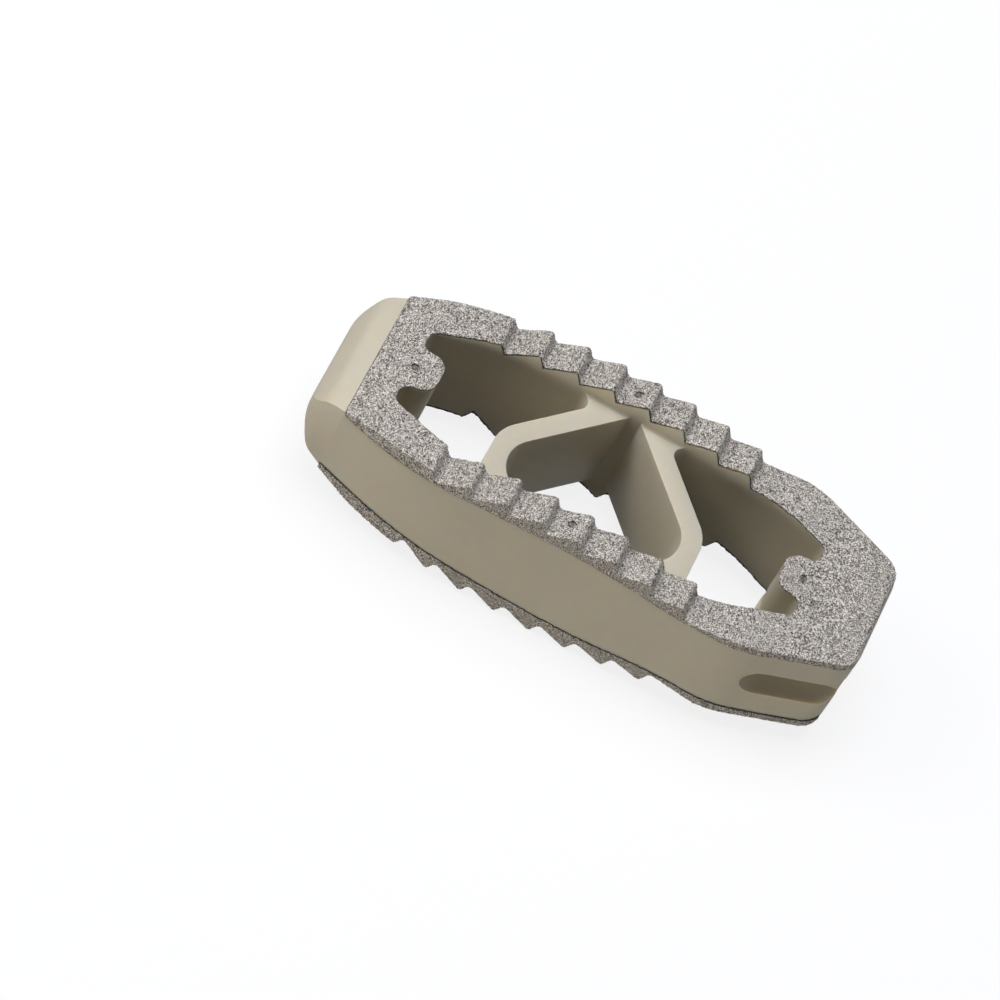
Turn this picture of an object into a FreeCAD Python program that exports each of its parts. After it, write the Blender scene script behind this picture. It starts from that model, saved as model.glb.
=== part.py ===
import FreeCAD, Part
import math
import os

os.makedirs("parts", exist_ok=True)

Vector = FreeCAD.Vector

# Overall size, in millimetres. The nose points along -X and the tail along +X.
LENGTH = 48.7
WIDTH = 18.0
HEIGHT = 14.0
TOP_COAT = 0.30
SIDE_COAT = 0.15

# Outline seen from above, given on the bare plastic body.
NOSE_FLANK_Y = 5.55
SHOULDER_FROM_NOSE = 10.25
TAIL_TAPER_LENGTH = 9.0
TAIL_FLANK_Y = 5.26
NOSE_CORNER_R = 2.6
SHOULDER_R = 50.0
TAIL_SHOULDER_R = 10.0
TAIL_CORNER_R = 2.5

# Side view. The crest line is an arc that is highest just on the nose side of the middle.
MID_X = -1.18
CROWN_R = 47.6
FIRST_CREST_X = -12.91
PITCH = 3.243
TOOTH_COUNT = 8
TOOTH_DEPTH = 1.30
TOOTH_DROP_LENGTH = 0.61
CREST_R = 0.28
CREST_ROUNDING = 0.41
ROOT_R = 0.30
NOSE_DECK_DROP = 1.38
NOSE_DECK_KNEE_DROP = 0.55
NOSE_DECK_KNEE = 5.0
TAIL_DECK_KNEE = 4.6
DECK_KNEE_R = 12.0
TAIL_DECK_RISE = 0.72
TAIL_DECK_FALL = 0.10
TAIL_EDGE_R = 0.50
NOSE_BARE_LENGTH = 3.04
NOSE_DECK_EDGE_R = 2.0
TAIL_BARE_LENGTH = 0.10
NOSE_FACE_HALF = 0.90
NOSE_BEND_BACK = 1.40
NOSE_BEND_HALF = 3.40
NOSE_FACE_R = 2.0
NOSE_BEND_R = 1.8

# Graft room seen from above. It is symmetric about its own centre.
NOSE_BLOCK_LENGTH = 5.98
TAIL_BLOCK_LENGTH = 6.42
RAIL_WIDTH = 2.79
ROOM_TAPER_LENGTH = 5.95
LOBE_OUTER_Y = 3.85
LOBE_OUTER_R = 0.90
LOBE_INNER_R = 0.70
TONGUE_LENGTH = 2.45
TONGUE_TIP_HALF = 1.80
TONGUE_ROOT_HALF = 2.05
TONGUE_R = 1.75
ROOM_TAPER_R = 14.0

# V-shaped struts in the graft room, symmetric about their own centre.
STRUT_X = -0.44
STRUT_RECESS = 2.25
STRUT_WIDTH = 1.74
MID_APEX_PAST_RAIL = 0.59
MID_APEX_R = 0.7
MID_BASE_HALF = 11.53
MID_BASE_R = 3.0
LEG_OUTER_X = 9.40
LEG_BEND_R = 3.5
STRUT_FAR_R = 0.9
STRUT_NEAR_R = 0.5
STRUT_COVE_R = 0.55

# Tail connection: a threaded bore with a plain hole behind it, and two side slots.
THREAD_R = 2.50
THREAD_DEPTH = 5.3
GUIDE_HOLE_R = 1.30
MOUTH_CHAMFER = 0.30
SLOT_LENGTH = 7.6
SLOT_HEIGHT = 3.10
SLOT_FLOOR_Y = 4.35

# Marker pins, which end inside the coating's thickness, and the pits that leave their ends bare.
PIN_R = 0.25
PIN_PIT_GAP = 0.07
PIN_RISE = 0.12
PIN_BORE_GAP = 0.50
NOSE_PIN_FROM_NOSE = 6.21
TAIL_PIN_FROM_TAIL = 6.95
RAIL_PIN_INSET = 1.50

# Lower line of the sprayed coating on the sides: share of the coated length, depth below the top.
SKIRT_LINE = [
    (0.0, 3.38), (0.187, 2.92), (0.30, 2.45), (0.40, 2.22),
    (0.55, 2.28), (0.69, 2.98), (0.82, 2.88), (1.0, 2.92),
]

HALF_HEIGHT = HEIGHT / 2
BODY_HALF_WIDTH = WIDTH / 2 - SIDE_COAT
NOSE_X = -LENGTH / 2
TAIL_X = LENGTH / 2
COAT_START_X = NOSE_X + NOSE_BARE_LENGTH
COAT_END_X = TAIL_X - TAIL_BARE_LENGTH
ROOM_X = (NOSE_BLOCK_LENGTH - TAIL_BLOCK_LENGTH) / 2
LOBE_REACH = (LENGTH - NOSE_BLOCK_LENGTH - TAIL_BLOCK_LENGTH) / 2
ROOM_TAPER_X = LOBE_REACH - ROOM_TAPER_LENGTH
TONGUE_REACH = LOBE_REACH - TONGUE_LENGTH
RAIL_INNER_Y = BODY_HALF_WIDTH - RAIL_WIDTH
MID_APEX_Y = RAIL_INNER_Y + MID_APEX_PAST_RAIL
STRUT_TOP = HALF_HEIGHT - STRUT_RECESS
NOSE_PIN_X = NOSE_X + NOSE_PIN_FROM_NOSE
TAIL_PIN_X = TAIL_X - TAIL_PIN_FROM_TAIL
RAIL_PIN_Y = BODY_HALF_WIDTH - RAIL_PIN_INSET
# Cutting shapes run this far past what they cut.
SPARE = 1.0


def turned(corner, before, after):
    """Start, middle and end of the arc that rounds one corner of a path."""
    x, y, radius = corner
    ax, ay = before[0] - x, before[1] - y
    bx, by = after[0] - x, after[1] - y
    la, lb = math.hypot(ax, ay), math.hypot(bx, by)
    ax, ay, bx, by = ax / la, ay / la, bx / lb, by / lb
    half = math.acos(max(-1.0, min(1.0, ax * bx + ay * by))) / 2
    if radius <= 0 or half > math.pi / 2 - 1e-4:
        return (x, y), None, (x, y)
    reach = min(radius / math.tan(half), 0.49 * la, 0.49 * lb)
    radius = reach * math.tan(half)
    mx, my = ax + bx, ay + by
    lm = math.hypot(mx, my)
    off = radius / math.sin(half) - radius
    middle = (x + mx / lm * off, y + my / lm * off)
    return (x + ax * reach, y + ay * reach), middle, (x + bx * reach, y + by * reach)


def rounded_edges(corners, place, closed):
    """Lines and arcs through corners given as (a, b, radius)."""
    count = len(corners)
    arcs = []
    for i, corner in enumerate(corners):
        if not closed and i in (0, count - 1):
            arcs.append(((corner[0], corner[1]), None, (corner[0], corner[1])))
        else:
            arcs.append(turned(corner, corners[i - 1], corners[(i + 1) % count]))
    edges = []
    for i, (start, middle, end) in enumerate(arcs):
        if middle is not None:
            edges.append(Part.Arc(place(*start), place(*middle), place(*end)).toShape())
        if i == count - 1 and not closed:
            continue
        following = arcs[(i + 1) % count][0]
        if math.dist(end, following) > 1e-6:
            edges.append(Part.LineSegment(place(*end), place(*following)).toShape())
    return edges


def plan(x, y):
    return Vector(x, y, 0)


def side(x, z):
    return Vector(x, 0, z)


def plan_prism(corners):
    """Upright prism over a rounded outline seen from above, taller than the cage."""
    low = -HALF_HEIGHT - SPARE
    face = Part.Face(Part.Wire(rounded_edges(corners, plan, True)))
    return face.extrude(Vector(0, 0, -2 * low)).translated(Vector(0, 0, low))


def across_prism(wire, half):
    """Prism that carries a side-view outline across the width."""
    return Part.Face(wire).extrude(Vector(0, 2 * half, 0)).translated(Vector(0, -half, 0))


def mirrored_y(corners):
    return [(x, -y, r) for x, y, r in reversed(corners)]


def body_outline():
    flank = [
        (NOSE_X, NOSE_FLANK_Y, NOSE_CORNER_R),
        (NOSE_X + SHOULDER_FROM_NOSE, BODY_HALF_WIDTH, SHOULDER_R),
        (TAIL_X - TAIL_TAPER_LENGTH, BODY_HALF_WIDTH, TAIL_SHOULDER_R),
        (TAIL_X, TAIL_FLANK_Y, TAIL_CORNER_R),
    ]
    return flank + mirrored_y(flank)


def crest_height(x):
    """Sharp crest line; rounding the crests brings the tallest one down to the full height."""
    return HALF_HEIGHT + CREST_ROUNDING * CREST_R - (x - MID_X) ** 2 / (2 * CROWN_R)


def deck_corners():
    """Upper line of the coated deck from the coating's nose edge to its tail edge."""
    first = crest_height(FIRST_CREST_X)
    line = [(COAT_START_X, first - NOSE_DECK_DROP, 0)]
    line.append((FIRST_CREST_X - NOSE_DECK_KNEE, first - NOSE_DECK_KNEE_DROP, DECK_KNEE_R))
    for i in range(TOOTH_COUNT):
        x = FIRST_CREST_X + i * PITCH
        root_x = x + TOOTH_DROP_LENGTH
        line.append((x, crest_height(x), CREST_R))
        line.append((root_x, crest_height(root_x) - TOOTH_DEPTH, ROOT_R))
    last_x, last_z, _ = line[-1]
    line.append((last_x + TAIL_DECK_KNEE, last_z + TAIL_DECK_RISE, DECK_KNEE_R))
    line.append((COAT_END_X, last_z + TAIL_DECK_RISE - TAIL_DECK_FALL, TAIL_EDGE_R))
    return line


def deck_height(x):
    """Height of the coated deck at one place along the cage, corners taken sharp."""
    line = deck_corners()
    for (ax, az, _), (bx, bz, _) in zip(line, line[1:]):
        if ax <= x <= bx:
            return az + (bz - az) * (x - ax) / (bx - ax)
    return line[0][1]


def body_profile():
    """Side view of the bare body: blunt wedge nose, sharp toothed deck sunk by the coating."""
    deck = [(x, z - TOP_COAT, 0) for x, z, _ in deck_corners()]
    deck[0] = (COAT_START_X, deck[0][1], NOSE_DECK_EDGE_R)
    deck[-1] = (TAIL_X, deck[-1][1], TAIL_EDGE_R)
    upper = [(NOSE_X, NOSE_FACE_HALF, NOSE_FACE_R), (NOSE_X + NOSE_BEND_BACK, NOSE_BEND_HALF, NOSE_BEND_R)]
    upper += deck
    return upper + mirrored_y(upper)


def body_blank():
    outline = plan_prism(body_outline())
    profile = Part.Wire(rounded_edges(body_profile(), side, True))
    blank = outline.common(across_prism(profile, WIDTH))
    return blank.Solids[0]


def room_outline():
    quarter = [
        (ROOM_TAPER_X, RAIL_INNER_Y, ROOM_TAPER_R),
        (LOBE_REACH, LOBE_OUTER_Y, LOBE_OUTER_R),
        (LOBE_REACH, TONGUE_ROOT_HALF, LOBE_INNER_R),
        (TONGUE_REACH, TONGUE_TIP_HALF, TONGUE_R),
    ]
    tail_half = quarter + mirrored_y(quarter)
    nose_half = [(-x, -y, r) for x, y, r in tail_half]
    return [(x + ROOM_X, y, r) for x, y, r in tail_half + nose_half]


def room_prism():
    return plan_prism(room_outline())


def strut_section():
    """Cross-section of the strut block: flat top and bottom, coved up to the rails."""
    wall = RAIL_INNER_Y
    top = STRUT_TOP + STRUT_COVE_R
    half = [
        (-wall - SPARE, top, 0),
        (-wall, top, 0),
        (-wall, STRUT_TOP, STRUT_COVE_R),
        (wall, STRUT_TOP, STRUT_COVE_R),
        (wall, top, 0),
        (wall + SPARE, top, 0),
    ]
    return half + [(y, -z, r) for y, z, r in reversed(half)]


def strut_block():
    """Two legs of a V that join the rails, before they are set in the graft room."""
    reach = LEG_OUTER_X + STRUT_WIDTH
    wire = Part.Wire(rounded_edges(strut_section(), lambda y, z: Vector(-reach, y, z), True))
    block = Part.Face(wire).extrude(Vector(2 * reach, 0, 0))
    slope = MID_BASE_HALF / (MID_APEX_Y + RAIL_INNER_Y)
    offset = STRUT_WIDTH * math.hypot(1, slope)
    far_x = offset + (MID_APEX_Y - RAIL_INNER_Y) * slope
    bend_y = MID_APEX_Y - (LEG_OUTER_X - offset) / slope
    middle = [
        (0, MID_APEX_Y, MID_APEX_R),
        (-MID_BASE_HALF, -RAIL_INNER_Y, MID_BASE_R),
        (MID_BASE_HALF, -RAIL_INNER_Y, MID_BASE_R),
    ]
    outer = [
        (far_x, RAIL_INNER_Y, STRUT_FAR_R),
        (LEG_OUTER_X, bend_y, LEG_BEND_R),
        (LEG_OUTER_X, -RAIL_INNER_Y, STRUT_NEAR_R),
        (TAIL_X, -RAIL_INNER_Y, 0),
        (TAIL_X, RAIL_INNER_Y, 0),
    ]
    nose_side = [(-x, y, r) for x, y, r in reversed(outer)]
    for window in (middle, outer, nose_side):
        block = block.cut(plan_prism(window))
    return block.translated(Vector(STRUT_X, 0, 0))


def tail_bore():
    """Threaded bore from the tail face, cone, then the plain hole into the graft room."""
    axis = Vector(-1, 0, 0)
    mouth = Vector(TAIL_X, 0, 0)
    thread_end = Vector(TAIL_X - THREAD_DEPTH, 0, 0)
    step = THREAD_R - GUIDE_HOLE_R
    bore = Part.makeCylinder(THREAD_R, THREAD_DEPTH + SPARE, Vector(TAIL_X + SPARE, 0, 0), axis)
    cone = Part.makeCone(THREAD_R, GUIDE_HOLE_R, step, thread_end, axis)
    hole = Part.makeCylinder(GUIDE_HOLE_R, TAIL_X - ROOM_X - TONGUE_REACH + SPARE, mouth, axis)
    wide = THREAD_R + MOUTH_CHAMFER
    lead = Part.makeCone(wide, THREAD_R, MOUTH_CHAMFER, mouth, axis)
    return bore.fuse([cone, hole, lead])


def side_slot(sign):
    """Flat-floored slot along one side, rounded at its nose end and open at the tail."""
    half = SLOT_HEIGHT / 2
    start = TAIL_X - SLOT_LENGTH
    depth = WIDTH / 2 + SPARE - SLOT_FLOOR_Y
    base_y = SLOT_FLOOR_Y if sign > 0 else -SLOT_FLOOR_Y - depth
    run = Part.makeBox(SLOT_LENGTH, depth, SLOT_HEIGHT, Vector(start + half, base_y, -half))
    end = Part.makeCylinder(half, depth, Vector(start + half, base_y, 0), Vector(0, 1, 0))
    return run.fuse(end)


def pin_spots():
    """Name, place and lower end of every marker pin; None marks a pin that runs right through."""
    inner = GUIDE_HOLE_R + PIN_BORE_GAP
    return [
        ("nose_marker_pin", NOSE_PIN_X, 0.0, None),
        ("near_rail_marker_pin", MID_X, -RAIL_PIN_Y, None),
        ("far_rail_marker_pin", MID_X, RAIL_PIN_Y, None),
        ("tail_marker_pin_upper", TAIL_PIN_X, 0.0, inner),
        ("tail_marker_pin_lower", TAIL_PIN_X, 0.0, -inner),
    ]


def pin_solid(x, y, inner, rise):
    """Marker pin whose outer ends stand above the bare deck by the given amount."""
    end = deck_height(x) - TOP_COAT + rise
    if inner is None:
        return Part.makeCylinder(PIN_R, 2 * end, Vector(x, y, -end))
    low = inner if inner > 0 else -end
    return Part.makeCylinder(PIN_R, end - abs(inner), Vector(x, y, low))


def cage_body():
    body = body_blank()
    graft_room = room_prism().cut(strut_block())
    body = body.cut(graft_room)
    body = body.cut([tail_bore(), side_slot(1), side_slot(-1)])
    holes = [pin_solid(x, y, inner, SPARE) for _, x, y, inner in pin_spots()]
    body = body.cut(holes)
    return body.Solids[0]


def skirt_curve():
    """Masked lower line of the coating, drawn from nose to tail."""
    span = COAT_END_X - COAT_START_X
    points = [side(COAT_START_X + share * span, HALF_HEIGHT - depth) for share, depth in SKIRT_LINE]
    curve = Part.BSplineCurve()
    curve.interpolate(points)
    return curve.toShape()


def upper_coating(blank):
    """Sprayed metal over the toothed deck and down the flanks; the tail face stays bare."""
    skirt = skirt_curve()
    nose_low = skirt.valueAt(skirt.FirstParameter)
    tail_low = skirt.valueAt(skirt.LastParameter)
    corners = [(nose_low.x, nose_low.z, 0)] + deck_corners() + [(tail_low.x, tail_low.z, 0)]
    wire = Part.Wire(Part.__sortEdges__(rounded_edges(corners, side, False) + [skirt]))
    shell = across_prism(wire, WIDTH)
    outline = Part.Face(Part.Wire(rounded_edges(body_outline(), plan, True))).makeOffset2D(SIDE_COAT)
    shell = shell.common(outline.extrude(Vector(0, 0, HEIGHT)))
    shell = shell.cut(blank)
    shell = shell.cut(room_prism())
    pits = []
    for _, x, y, _ in pin_spots()[:4]:
        pits.append(Part.makeCylinder(PIN_R + PIN_PIT_GAP, HEIGHT, Vector(x, y, 0)))
    return shell.cut(pits)


def export(name, shape):
    placed = shape.translated(Vector(0, 0, HALF_HEIGHT))
    placed.exportStep("parts/" + name + ".step")
    box = placed.BoundBox
    print(name, placed.isValid(), len(placed.Solids), round(placed.Volume, 2), box)


blank = body_blank()
coating = upper_coating(blank)
export("cage_body", cage_body())
export("upper_coating", coating)
export("lower_coating", coating.mirror(Vector(0, 0, 0), Vector(0, 0, 1)))
for pin_name, pin_x, pin_y, pin_inner in pin_spots():
    export(pin_name, pin_solid(pin_x, pin_y, pin_inner, PIN_RISE))
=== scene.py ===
import math

import bmesh
import bpy
from mathutils import Matrix, Vector, noise
from mathutils.bvhtree import BVHTree


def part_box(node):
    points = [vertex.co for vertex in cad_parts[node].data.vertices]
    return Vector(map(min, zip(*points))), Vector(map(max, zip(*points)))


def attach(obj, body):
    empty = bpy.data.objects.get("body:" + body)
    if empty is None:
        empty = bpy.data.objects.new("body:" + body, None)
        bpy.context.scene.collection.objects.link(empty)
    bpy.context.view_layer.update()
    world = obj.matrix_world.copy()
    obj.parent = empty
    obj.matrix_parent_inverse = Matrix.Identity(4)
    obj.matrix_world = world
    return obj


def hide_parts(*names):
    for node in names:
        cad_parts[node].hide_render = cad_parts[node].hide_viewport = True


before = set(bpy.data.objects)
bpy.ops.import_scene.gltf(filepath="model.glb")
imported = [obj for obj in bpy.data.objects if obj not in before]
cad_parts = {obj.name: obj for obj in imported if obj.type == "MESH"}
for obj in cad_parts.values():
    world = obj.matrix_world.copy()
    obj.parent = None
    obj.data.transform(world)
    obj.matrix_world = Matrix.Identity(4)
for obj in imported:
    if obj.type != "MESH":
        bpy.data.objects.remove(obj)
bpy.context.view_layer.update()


# The body is one bar of beige PEEK, milled all over: bullet nose, two rails, a tongue at each
# end of the graft room and two struts that form a V in it. Its edges are lightly broken, and the
# plastic is slightly translucent, so thin edges glow warm where light comes through them.
body_low, body_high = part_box("cage_body")
TAIL_X = round(body_high.x, 6)
BODY_HALF_WIDTH = round(body_high.y, 6)
MID_HEIGHT = round((body_low.z + body_high.z) / 2, 6)
MESH_WELD = 2e-7
FLAT_WITHIN = math.radians(0.4)
SHARP_FROM = math.radians(32)
SHADING_SPLIT = math.radians(28)
EDGE_BREAK = 0.00010
COATING_MARGIN = 0.00012

# Both side slots are deepened from here to past the tail, just inside their own walls.
SLOT_START = TAIL_X - 0.00605
SLOT_END = TAIL_X + 0.00065
SLOT_FLOOR = 0.00436
SLOT_OPENING = 0.00308
SLOT_DEEPER = 0.00115
SLOT_REACH = 0.0030

PEEK_SHADE = (0.540, 0.492, 0.378, 1)
PEEK_LIGHT = (0.560, 0.510, 0.394, 1)
PEEK_CLOUD_WAVES = 260.0
PEEK_SATIN_WAVES = 9000.0


def skin_of(node_name):
    """Search tree over a node's surface, made while the node is still shown."""
    return BVHTree.FromObject(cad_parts[node_name], bpy.context.evaluated_depsgraph_get())


def coating_gap(point):
    """Distance from a point to the nearer of the two coatings."""
    return min(skin.find_nearest(point)[3] for skin in coating_skins.values())


def mesh_of(shape, name):
    """Mesh with the faces of a bmesh, which is freed."""
    mesh = bpy.data.meshes.new(name)
    shape.to_mesh(mesh)
    shape.free()
    return mesh


def put_in_scene(mesh, name):
    """Object at the origin that shows a mesh."""
    piece = bpy.data.objects.new(name, mesh)
    bpy.context.scene.collection.objects.link(piece)
    return piece


def take_mesh(blank):
    """Mesh of a working object with its modifiers applied. The object is removed."""
    depsgraph = bpy.context.evaluated_depsgraph_get()
    mesh = bpy.data.meshes.new_from_object(blank.evaluated_get(depsgraph))
    bpy.data.objects.remove(blank)
    return mesh


def shade_smooth(shape):
    """Smooth shading that splits at every edge where the surface clearly turns."""
    for face in shape.faces:
        face.smooth = True
    for edge in shape.edges:
        edge.smooth = not edge.is_manifold or edge.calc_face_angle(0) < SHADING_SPLIT


def node_adder(tree):
    """Short way to add a node to a tree, with its inputs and settings given by name."""
    def add(kind, **settings):
        node = tree.nodes.new(kind)
        for key, value in settings.items():
            if key in node.inputs:
                node.inputs[key].default_value = value
            else:
                setattr(node, key, value)
        return node

    return add


def new_material(name, finish):
    """Material with a finish set on its shader, and short ways to add and join nodes."""
    material = bpy.data.materials.new(name)
    material.use_nodes = True
    shader = material.node_tree.nodes["Principled BSDF"]
    for socket, value in finish.items():
        shader.inputs[socket].default_value = value
    return material, shader, node_adder(material.node_tree), material.node_tree.links.new


def set_ramp(ramp, *stops):
    """Give a colour ramp its stops, each a position and a colour, lowest first."""
    elements = ramp.color_ramp.elements
    first, *between, last = stops
    for element, (position, colour) in zip((elements[0], elements[1]), (first, last)):
        element.position = position
        element.color = colour
    for position, colour in between:
        elements.new(position).color = colour


coating_skins = {name: skin_of(name) for name in ("upper_coating", "lower_coating")}
plastic_skin = skin_of("cage_body")

peek = bmesh.new()
peek.from_mesh(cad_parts["cage_body"].data)
bmesh.ops.remove_doubles(peek, verts=peek.verts, dist=MESH_WELD)
peek_blank = put_in_scene(mesh_of(peek, "blank"), "blank")

# Each cutter tilts in towards the tail, so the floor of the slot runs deeper there.
cutters = bmesh.new()
for side in (-1, 1):
    cutter = bmesh.ops.create_cube(cutters, size=1)["verts"]
    bmesh.ops.scale(cutters, vec=(SLOT_END - SLOT_START, SLOT_REACH, SLOT_OPENING), verts=cutter)
    middle = Vector(((SLOT_START + SLOT_END) / 2, side * (SLOT_FLOOR + SLOT_REACH / 2), MID_HEIGHT))
    bmesh.ops.translate(cutters, vec=middle, verts=cutter)
    deep_end = [vert for vert in cutter if vert.co.x > middle.x and abs(vert.co.y) < abs(middle.y)]
    bmesh.ops.translate(cutters, vec=(0, -side * SLOT_DEEPER, 0), verts=deep_end)
slot_cutters = put_in_scene(mesh_of(cutters, "slot_cutters"), "slot_cutters")
deepen = peek_blank.modifiers.new("deepen", "BOOLEAN")
deepen.operation = "DIFFERENCE"
deepen.solver = "EXACT"
deepen.object = slot_cutters
slotted = take_mesh(peek_blank)
bpy.data.objects.remove(slot_cutters)

peek = bmesh.new()
peek.from_mesh(slotted)
bmesh.ops.remove_doubles(peek, verts=peek.verts, dist=MESH_WELD)
bmesh.ops.dissolve_limit(peek, angle_limit=FLAT_WITHIN, verts=peek.verts, edges=peek.edges, delimit=set())
broken = []
for edge in peek.edges:
    if not edge.is_manifold or edge.calc_face_angle(0) < SHARP_FROM:
        continue
    if coating_gap((edge.verts[0].co + edge.verts[1].co) / 2) > COATING_MARGIN:
        broken.append(edge)
bmesh.ops.bevel(peek, geom=broken, offset=EDGE_BREAK, offset_type="OFFSET", segments=2, profile=0.5,
                affect="EDGES", clamp_overlap=True, material=-1)
bmesh.ops.triangulate(peek, faces=[face for face in peek.faces if len(face.verts) > 4])
shade_smooth(peek)
peek_body = put_in_scene(mesh_of(peek, "peek_body"), "peek_body")

peek_plastic, shader, add, join = new_material("peek_plastic", {
    "Roughness": 0.50,
    "Specular IOR Level": 0.2,
    "Subsurface Weight": 1.0,
    "Subsurface Radius": (1.0, 0.60, 0.28),
    "Subsurface Scale": 0.0007,
})
place = add("ShaderNodeTexCoord")
cloud = add("ShaderNodeTexNoise", Scale=PEEK_CLOUD_WAVES, Detail=3.0, Roughness=0.5)
tint = add("ShaderNodeValToRGB")
set_ramp(tint, (0.3, PEEK_SHADE), (0.7, PEEK_LIGHT))
join(place.outputs["Object"], cloud.inputs["Vector"])
join(cloud.outputs["Fac"], tint.inputs["Fac"])
join(tint.outputs["Color"], shader.inputs["Base Color"])
satin = add("ShaderNodeTexNoise", Scale=PEEK_SATIN_WAVES, Detail=2.0)
ripple = add("ShaderNodeBump", Strength=0.25, Distance=0.00001)
join(place.outputs["Object"], satin.inputs["Vector"])
join(satin.outputs["Fac"], ripple.inputs["Height"])
join(ripple.outputs["Normal"], shader.inputs["Normal"])
peek_body.data.materials.append(peek_plastic)

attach(peek_body, "root")
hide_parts("cage_body")


# The inserter's rod screws into the tail. Its thread is cut in the bore of the same plastic:
# five millimetres across at the roots, in steps of 0.8 mm, with narrow flats on its crests.
THREAD_ROOT_R = 0.00256
THREAD_CREST_R = 0.00207
THREAD_PITCH = 0.0008
THREAD_ROOT_HALF = 0.40 * THREAD_PITCH
THREAD_CREST_HALF = 0.07 * THREAD_PITCH
THREAD_TURNS = 5.5
THREAD_START = TAIL_X - 0.00075
STEPS_PER_TURN = 40

ridge = bmesh.new()
flank = [(THREAD_ROOT_HALF, THREAD_ROOT_R), (THREAD_CREST_HALF, THREAD_CREST_R)]
profile = []
for along, radius in flank + [(-along, radius) for along, radius in reversed(flank)]:
    profile.append(ridge.verts.new((THREAD_START + along, 0, MID_HEIGHT + radius)))
section = ridge.faces.new(profile)
rim = list(section.edges)
bmesh.ops.delete(ridge, geom=[section], context="FACES_ONLY")
bmesh.ops.spin(ridge, geom=profile + rim, cent=(0, 0, MID_HEIGHT), axis=(1, 0, 0),
               dvec=(-THREAD_PITCH / STEPS_PER_TURN, 0, 0), angle=math.tau * THREAD_TURNS,
               steps=int(STEPS_PER_TURN * THREAD_TURNS), use_merge=False)
bmesh.ops.holes_fill(ridge, edges=[edge for edge in ridge.edges if edge.is_boundary], sides=4)
bmesh.ops.recalc_face_normals(ridge, faces=ridge.faces)
shade_smooth(ridge)
thread_ridge = put_in_scene(mesh_of(ridge, "inserter_thread_ridge"), "inserter_thread_ridge")
thread_ridge.data.materials.append(peek_plastic)

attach(thread_ridge, "root")


# Both toothed faces are plasma sprayed with titanium after the body is masked. The metal freezes
# in splashes about a tenth of a millimetre across. It stands up as rough grain, rounds the teeth,
# hangs over the edges of the graft room and ends in a ragged line on the plastic.
MM_PER_M = 1000
SKIN_STEP_MM = 0.094
SKIN_THICKNESS = 0.00010
BACK_DETAIL = 0.62

# The grain is noise of two sizes, in waves per metre, with the share that each has in it.
SPLASH_WAVES = 7000.0
SPLASH_SHARE = 0.70
CLUMP_WAVES = 3000.0
CLUMP_SHARE = 0.30
CLUMP_SHIFT = Vector((7.0, 3.0, 1.0))
GRAIN_HEIGHT = 0.000075

# How far the spray laps onto the plastic, and what its edges do.
NOISE_SPREAD = 0.75
RAGGED_WAVES = 3500.0
LAP_LEAST = 0.00001
LAP_MOST = 0.00009
EDGE_SINK = 0.00006
# Painted shade: the spray's rim and a ragged band beside it are darkened in colour, standing in for the
# shadow under its edge.
RIM_SHADE = -1.4
SKIRT_LOWEST = 0.0028
OVERHANG = 0.00008
OVERHANG_WAVES = 1800.0
ROOM_HALF_LENGTH = TAIL_X - 0.00595
ROOM_HALF_WIDTH = BODY_HALF_WIDTH - 0.00265
UPRIGHT_WALL = 0.5

# The spray's colour runs from dark to bright with a fine speck noise and the grain's height. Part of this
# is its own tone, which differs at random. Part is painted shade in the pits and a painted highlight on
# the splash tops.
SPRAY_PIT_SHADE = (0.030, 0.026, 0.021, 1)
SPRAY_GREY = (0.235, 0.211, 0.173, 1)
SPRAY_PAINTED_GLINT = (0.78, 0.72, 0.63, 1)
SPRAY_SPECK_WAVES = 13500.0
GRAIN_IN_TONE = 0.14


def noise_share(point, waves):
    """Smooth noise from 0 to 1, with so many waves in a metre."""
    return min(1.0, max(0.0, 0.5 + NOISE_SPREAD * noise.noise(point * waves)))


def grain_height(point):
    """Height of the sprayed grain at a place, from 0 in a pit to 1 on a splash."""
    splash = noise.noise(point * SPLASH_WAVES)
    clump = noise.noise(point * CLUMP_WAVES + CLUMP_SHIFT)
    return min(1.0, max(0.0, 0.5 + SPLASH_SHARE * splash + CLUMP_SHARE * clump))


def voxel_skin(shape):
    """One even quad skin around everything in the shape, which is in millimetres."""
    blank = put_in_scene(mesh_of(shape, "spray_blank"), "spray_blank")
    remesh = blank.modifiers.new("skin", "REMESH")
    remesh.mode = "VOXEL"
    remesh.voxel_size = SKIN_STEP_MM
    return take_mesh(blank)


def cut_away(shape, verts):
    """Delete points, and the edges and pinched faces that this leaves behind."""
    bmesh.ops.delete(shape, geom=verts, context="VERTS")
    pinched = {face for edge in shape.edges if len(edge.link_faces) > 2 for face in edge.link_faces}
    bmesh.ops.delete(shape, geom=list(pinched), context="FACES")
    bmesh.ops.delete(shape, geom=[edge for edge in shape.edges if edge.is_wire], context="EDGES")
    bmesh.ops.delete(shape, geom=[vert for vert in shape.verts if not vert.link_faces], context="VERTS")


def drop_islands(shape):
    """Delete every patch of faces but the largest."""
    left = set(shape.verts)
    patches = []
    while left:
        patch = [left.pop()]
        for vert in patch:
            for edge in vert.link_edges:
                other = edge.other_vert(vert)
                if other in left:
                    left.remove(other)
                    patch.append(other)
        patches.append(patch)
    patches.sort(key=len)
    bmesh.ops.delete(shape, geom=[vert for patch in patches[:-1] for vert in patch], context="VERTS")


def is_sprayed(vert, coating_skin):
    """Whether a point of the whole skin lies on the spray or on its ragged lap."""
    gap = coating_skin.find_nearest(vert.co)[3]
    lap = LAP_LEAST + (LAP_MOST - LAP_LEAST) * noise_share(vert.co, RAGGED_WAVES)
    return gap <= lap or gap <= plastic_skin.find_nearest(vert.co)[3]


def faces_graft_room(vert):
    """Whether a point of the skin lies on an upright wall of the graft room."""
    inside = abs(vert.co.x) < ROOM_HALF_LENGTH and abs(vert.co.y) < ROOM_HALF_WIDTH
    return inside and abs(vert.normal.z) < UPRIGHT_WALL


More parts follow.
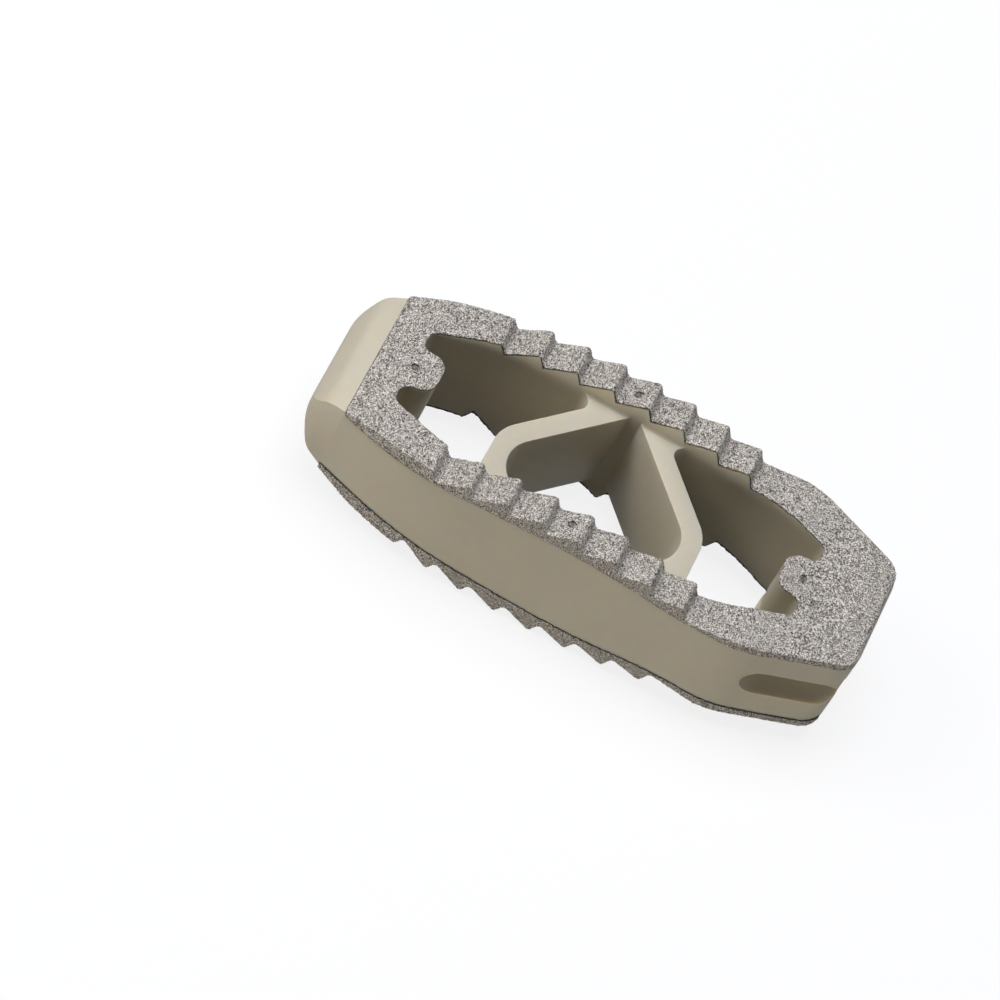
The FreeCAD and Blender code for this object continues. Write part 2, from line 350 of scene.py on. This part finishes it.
def roughen(shape):
    """Press the grain's pits into a trimmed skin, swell it over the room, sink its edge and paint shade
    along it.
    """
    shape.normal_update()
    grain_and_rim_shade = shape.verts.layers.float.new("grain_and_rim_shade")
    moves = []
    for vert in shape.verts:
        height = grain_height(vert.co)
        vert[grain_and_rim_shade] = height
        rise = -GRAIN_HEIGHT * (1 - height)
        if faces_graft_room(vert):
            rise += OVERHANG * noise_share(vert.co, OVERHANG_WAVES)
        # The edge sinks into the plastic and is darkened as painted shade; the points next to it get a
        # ragged band of painted shade.
        if vert.is_boundary:
            rise = -EDGE_SINK
            vert[grain_and_rim_shade] = RIM_SHADE
        moves.append(vert.normal * rise)
        if any(edge.other_vert(vert).is_boundary for edge in vert.link_edges):
            vert[grain_and_rim_shade] = min(vert[grain_and_rim_shade], RIM_SHADE * noise_share(vert.co, RAGGED_WAVES))
    for vert, move in zip(shape.verts, moves):
        vert.co += move
    for face in shape.faces:
        face.smooth = True


def closed_skin(shape, name):
    """Give an open shell a rim and a coarser back, and return it as a mesh."""
    blank = put_in_scene(mesh_of(shape, name), name)
    blank.vertex_groups.new(name="back")
    wall = blank.modifiers.new("wall", "SOLIDIFY")
    wall.thickness = SKIN_THICKNESS
    wall.offset = -1
    wall.shell_vertex_group = "back"
    coarser = blank.modifiers.new("coarser", "DECIMATE")
    coarser.vertex_group = "back"
    coarser.ratio = BACK_DETAIL
    return take_mesh(blank)


titanium_spray, shader, add, join = new_material("titanium_spray", {
    "Roughness": 0.75,
    "Specular IOR Level": 0.3,
})
place = add("ShaderNodeTexCoord")
# Painted shade and highlight: the stored grain darkens the pits and the rim. The speck noise that raises
# the bump also lightens its tops and darkens its hollows in the colour.
grain_and_rim_shade = add("ShaderNodeAttribute", attribute_name="grain_and_rim_shade")
speck = add("ShaderNodeTexNoise", Scale=SPRAY_SPECK_WAVES, Detail=2.0, Roughness=0.6)
mottle_shade_and_glint = add("ShaderNodeMath", operation="MULTIPLY_ADD")
mottle_shade_and_glint.inputs[1].default_value = GRAIN_IN_TONE
tone = add("ShaderNodeValToRGB")
set_ramp(tone, (0.52, SPRAY_PIT_SHADE), (0.58, SPRAY_GREY), (0.63, SPRAY_PAINTED_GLINT))
join(place.outputs["Object"], speck.inputs["Vector"])
join(grain_and_rim_shade.outputs["Fac"], mottle_shade_and_glint.inputs[0])
join(speck.outputs["Fac"], mottle_shade_and_glint.inputs[2])
join(mottle_shade_and_glint.outputs["Value"], tone.inputs["Fac"])
join(tone.outputs["Color"], shader.inputs["Base Color"])
pitted = add("ShaderNodeBump", Strength=0.5, Distance=0.00003)
join(speck.outputs["Fac"], pitted.inputs["Height"])
join(pitted.outputs["Normal"], shader.inputs["Normal"])

coated = bmesh.new()
for node_name in ("cage_body", "upper_coating", "lower_coating"):
    coated.from_mesh(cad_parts[node_name].data)
bmesh.ops.remove_doubles(coated, verts=coated.verts, dist=MESH_WELD)
bmesh.ops.scale(coated, vec=(MM_PER_M, MM_PER_M, MM_PER_M), verts=coated.verts)
whole_skin = voxel_skin(coated)

for node_name, side in (("upper_coating", 1), ("lower_coating", -1)):
    name = node_name.replace("coating", "titanium_spray")
    spray = bmesh.new()
    spray.from_mesh(whole_skin)
    bmesh.ops.scale(spray, vec=(1 / MM_PER_M, 1 / MM_PER_M, 1 / MM_PER_M), verts=spray.verts)
    cut_away(spray, [vert for vert in spray.verts if (vert.co.z - MID_HEIGHT) * side < SKIRT_LOWEST])
    cut_away(spray, [vert for vert in spray.verts if not is_sprayed(vert, coating_skins[node_name])])
    drop_islands(spray)
    roughen(spray)
    piece = put_in_scene(closed_skin(spray, name), name)
    piece.data.materials.append(titanium_spray)
    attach(piece, "root")
    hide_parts(node_name)


# Five pins of tantalum rod are pressed into drilled holes and cut off just above the plastic.
# They show on X-rays, and their dull ends sit in small pits that the spray masks left open.
TANTALUM_DARK = (0.030, 0.027, 0.023, 1)
TANTALUM_GREY = (0.24, 0.22, 0.195, 1)
TANTALUM_CUT_WAVES = 9000.0

tantalum, shader, add, join = new_material("tantalum", {"Metallic": 0.3, "Roughness": 0.55})
place = add("ShaderNodeTexCoord")
cut = add("ShaderNodeTexNoise", Scale=TANTALUM_CUT_WAVES, Detail=3.0)
dull = add("ShaderNodeValToRGB")
set_ramp(dull, (0.44, TANTALUM_DARK), (0.65, TANTALUM_GREY))
join(place.outputs["Object"], cut.inputs["Vector"])
join(cut.outputs["Fac"], dull.inputs["Fac"])
join(dull.outputs["Color"], shader.inputs["Base Color"])
for node_name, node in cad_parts.items():
    if "marker_pin" in node_name:
        node.data.materials.clear()
        node.data.materials.append(tantalum)


# The cage rests on its lower teeth on a plain white table. The camera sees the table as nearly
# pure white with a pale shadow, and to the cage it is dark, so it throws little light up.
TABLE_HALF = 1.5
TABLE_TO_CAGE = (0.08, 0.08, 0.08, 1)
TABLE_TO_CAMERA = (0.90, 0.90, 0.90, 1)
TABLE_GLOW = 0.84
# Numbers of a Mix node's sockets for colours.
MIX_A = 6
MIX_B = 7
MIX_RESULT = 2


def seen_rays(add, join):
    """Light path node, and a value that is 1 for camera rays, straight, in gloss or through glass."""
    ray = add("ShaderNodeLightPath")
    seen = ray.outputs["Is Camera Ray"]
    for kind in ("Is Glossy Ray", "Is Transmission Ray"):
        either = add("ShaderNodeMath", operation="MAXIMUM")
        join(seen, either.inputs[0])
        join(ray.outputs[kind], either.inputs[1])
        seen = either.outputs["Value"]
    return ray, seen


table_form = bmesh.new()
bmesh.ops.create_grid(table_form, x_segments=1, y_segments=1, size=TABLE_HALF)
table = put_in_scene(mesh_of(table_form, "table"), "table")

white_table, shader, add, join = new_material("white_table", {"Roughness": 0.9})
ray, seen = seen_rays(add, join)
sheet = add("ShaderNodeMix", data_type="RGBA")
sheet.inputs[MIX_A].default_value = TABLE_TO_CAGE
sheet.inputs[MIX_B].default_value = TABLE_TO_CAMERA
share = add("ShaderNodeMath", operation="MULTIPLY")
share.inputs[1].default_value = TABLE_GLOW
glow = add("ShaderNodeEmission", Strength=1.0)
blend = add("ShaderNodeMixShader")
join(ray.outputs["Is Camera Ray"], sheet.inputs["Factor"])
join(sheet.outputs[MIX_RESULT], shader.inputs["Base Color"])
join(seen, share.inputs[0])
join(share.outputs["Value"], blend.inputs["Fac"])
join(shader.outputs["BSDF"], blend.inputs[1])
join(glow.outputs["Emission"], blend.inputs[2])
join(blend.outputs["Shader"], white_table.node_tree.nodes["Material Output"].inputs["Surface"])
table.data.materials.append(white_table)


# Soft light: a wide, slightly cool lamp overhead, a smaller warm one above the nose, and two low
# warm strips in front, which reach the side of the cage but not its window. The surround is dim,
# and looks white behind the cage.
KEY_TINT = (0.84, 0.88, 1.0)
FILL_TINT = (1.0, 0.965, 0.925)
WHITE = (1, 1, 1, 1)
SURROUND = 0.04


def soft_lamp(name, tint, watts, position, aim, width, height):
    """Rectangular lamp at a place in the scene, turned to face another."""
    lamp = bpy.data.lights.new(name, "AREA")
    lamp.shape = "RECTANGLE"
    lamp.size = width
    lamp.size_y = height
    lamp.energy = watts
    lamp.color = tint
    lamp_object = bpy.data.objects.new(name, lamp)
    lamp_object.location = position
    lamp_object.rotation_euler = (Vector(aim) - Vector(position)).to_track_quat("-Z", "Y").to_euler()
    bpy.context.scene.collection.objects.link(lamp_object)


soft_lamp("overhead", KEY_TINT, watts=2.35,
          position=(-0.04, 0.08, 0.48), aim=(0, 0, 0), width=0.36, height=0.30)
soft_lamp("nose_side", FILL_TINT, watts=0.85,
          position=(-0.32, -0.05, 0.36), aim=(0, 0, 0), width=0.20, height=0.20)
soft_lamp("front_left_strip", FILL_TINT, watts=0.60,
          position=(-0.35, -0.35, 0.045), aim=(0, 0, 0.02), width=0.60, height=0.05)
soft_lamp("front_strip", FILL_TINT, watts=0.85,
          position=(0.15, -0.48, 0.045), aim=(0, 0, 0.02), width=0.60, height=0.05)

world = bpy.data.worlds.new("surround")
world.use_nodes = True
bpy.context.scene.world = world
add = node_adder(world.node_tree)
join = world.node_tree.links.new
dim = world.node_tree.nodes["Background"]
dim.inputs["Color"].default_value = WHITE
dim.inputs["Strength"].default_value = SURROUND
backdrop = add("ShaderNodeBackground", Color=WHITE, Strength=1.0)
ray, seen = seen_rays(add, join)
blend = add("ShaderNodeMixShader")
join(seen, blend.inputs["Fac"])
join(dim.outputs["Background"], blend.inputs[1])
join(backdrop.outputs["Background"], blend.inputs[2])
join(blend.outputs["Shader"], world.node_tree.nodes["World Output"].inputs["Surface"])


# The camera stands above the near side, well back, with a long lens, and is rolled so that the
# nose is at the upper left.
SENSOR_WIDTH = 36.0
LENS = 208.8
NEAREST = 0.01
FARTHEST = 10.0
EYE = Vector((-0.01526, -0.28128, 0.38348))
AHEAD = Vector((0.0176, 0.5930, -0.8050)).normalized()
TO_THE_RIGHT = Vector((0.8778, 0.3764, 0.2964)).normalized()

camera_data = bpy.data.cameras.new("camera")
camera_data.sensor_width = SENSOR_WIDTH
camera_data.lens = LENS
camera_data.clip_start = NEAREST
camera_data.clip_end = FARTHEST
camera = bpy.data.objects.new("camera", camera_data)
up = TO_THE_RIGHT.cross(AHEAD).normalized()
turn = Matrix((AHEAD.cross(up), up, -AHEAD)).transposed().to_4x4()
camera.matrix_world = Matrix.Translation(EYE) @ turn
bpy.context.scene.collection.objects.link(camera)
bpy.context.scene.camera = camera
bpy.context.scene.view_settings.view_transform = "Standard"
